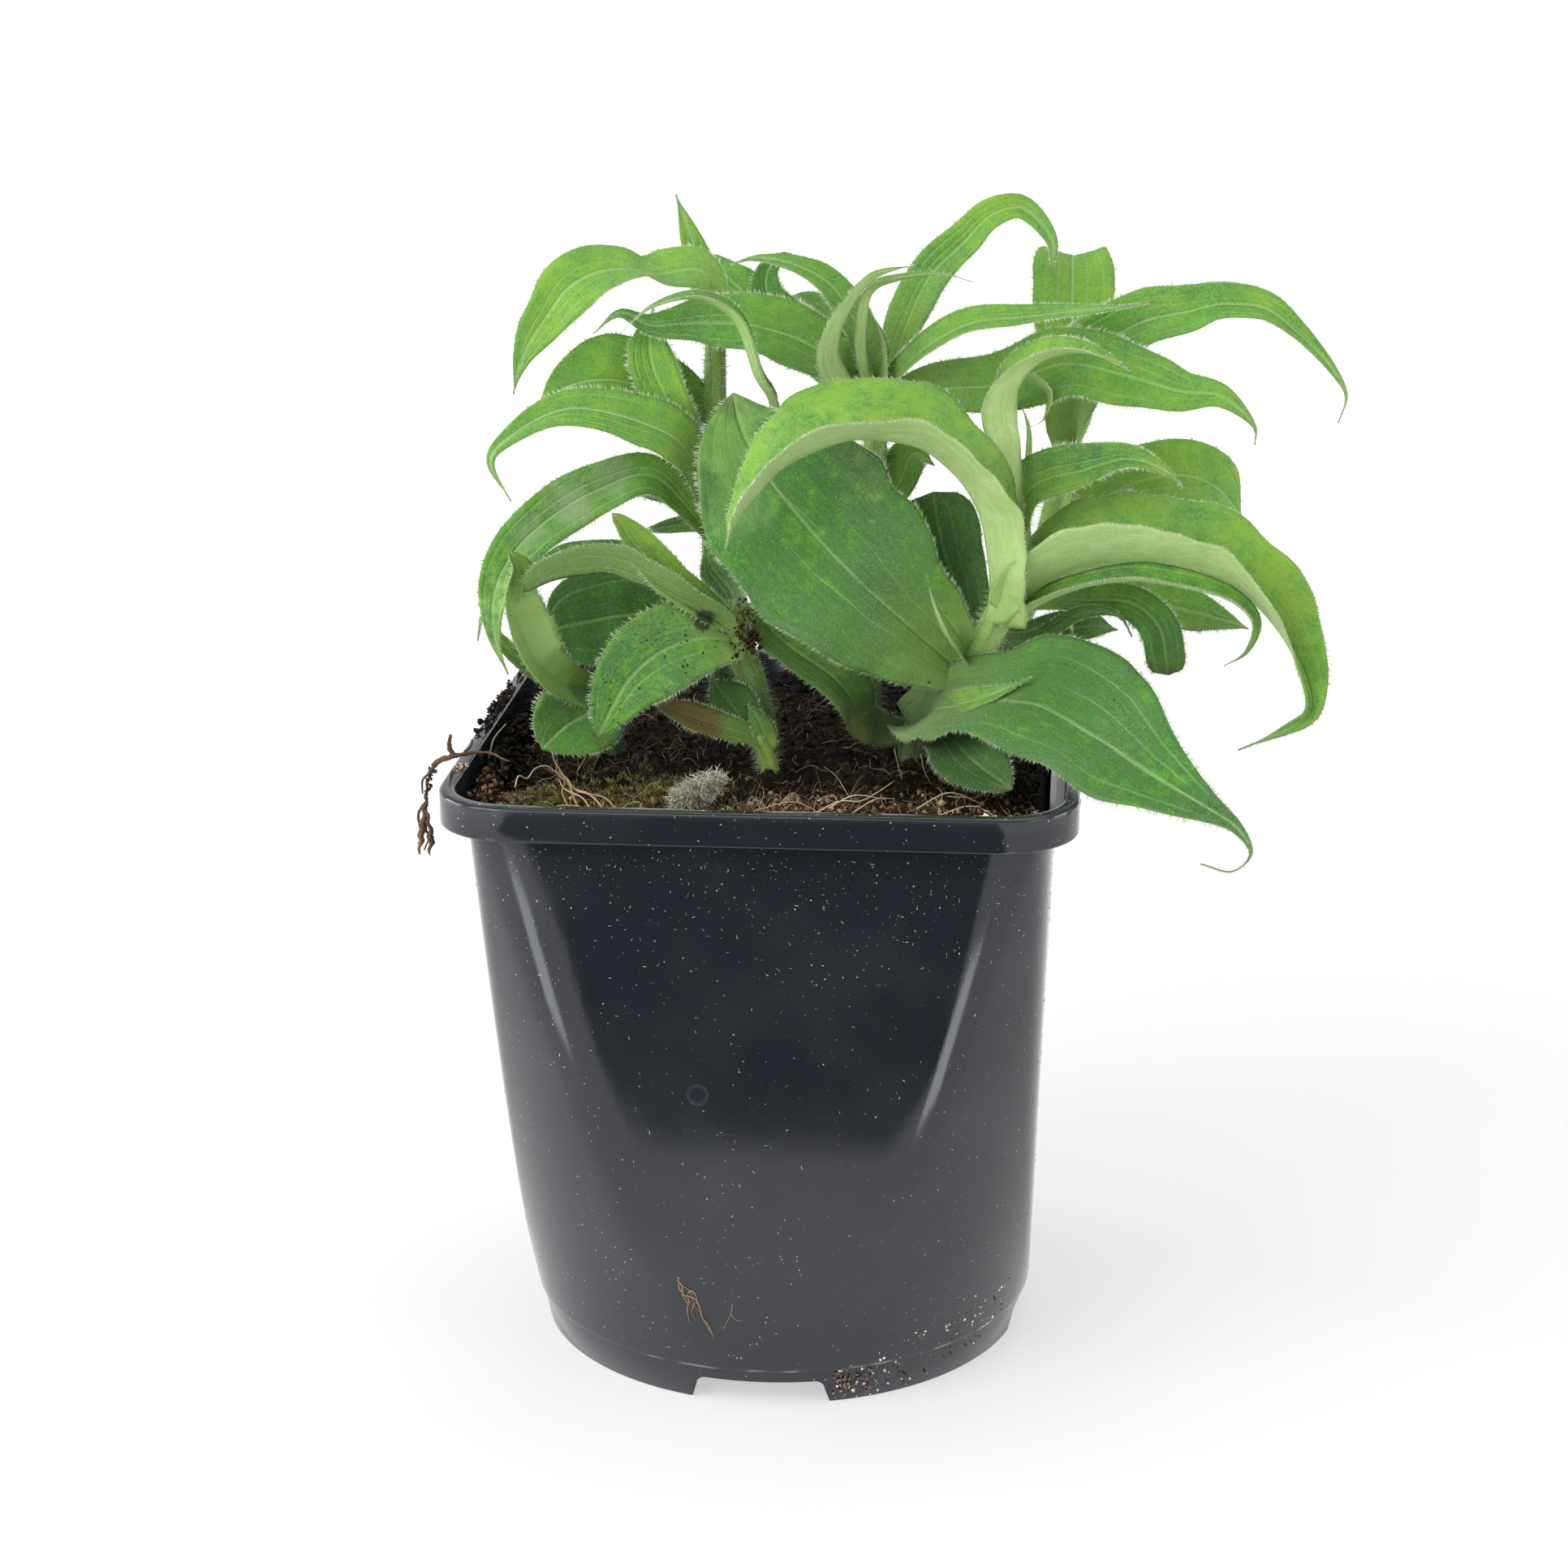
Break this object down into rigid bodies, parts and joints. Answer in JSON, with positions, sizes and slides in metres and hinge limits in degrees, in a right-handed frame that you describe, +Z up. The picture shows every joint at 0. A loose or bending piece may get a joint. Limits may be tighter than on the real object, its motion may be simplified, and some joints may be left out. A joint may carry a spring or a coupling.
{
  "type": "potted toad lily",
  "caption": "Young leafy toad lily growing in a square-round black nursery pot filled with peat.",
  "frame": {"origin": "under the middle of the whole plant and pot, on the surface the pot stands on", "axes": "+Z up, along the plant's height; -Y towards the viewer, out of the pot's front face"},
  "size_m": [0.134, 0.09, 0.1702],
  "materials": {
    "pot_plastic": "satin charcoal polypropylene with pale specks of dried water and peat",
    "peat": null,
    "old_leaf": null,
    "young_leaf": null,
    "dry_root": "dry matte root",
    "woolly_husk": "grey-brown husk with matted hairs"
  },
  "bodies": {
    "root": {"pot": "pot_plastic", "soil": "peat", "shoot_front": "old_leaf", "shoot_left": "old_leaf", "shoot_back_left": "young_leaf", "shoot_middle": "young_leaf", "shoot_right": "young_leaf", "shoot_low_left": "young_leaf", "shoot_low_front": "young_leaf", "root_strand": "dry_root", "husk": "woolly_husk"}
  },
  "joints": []
}
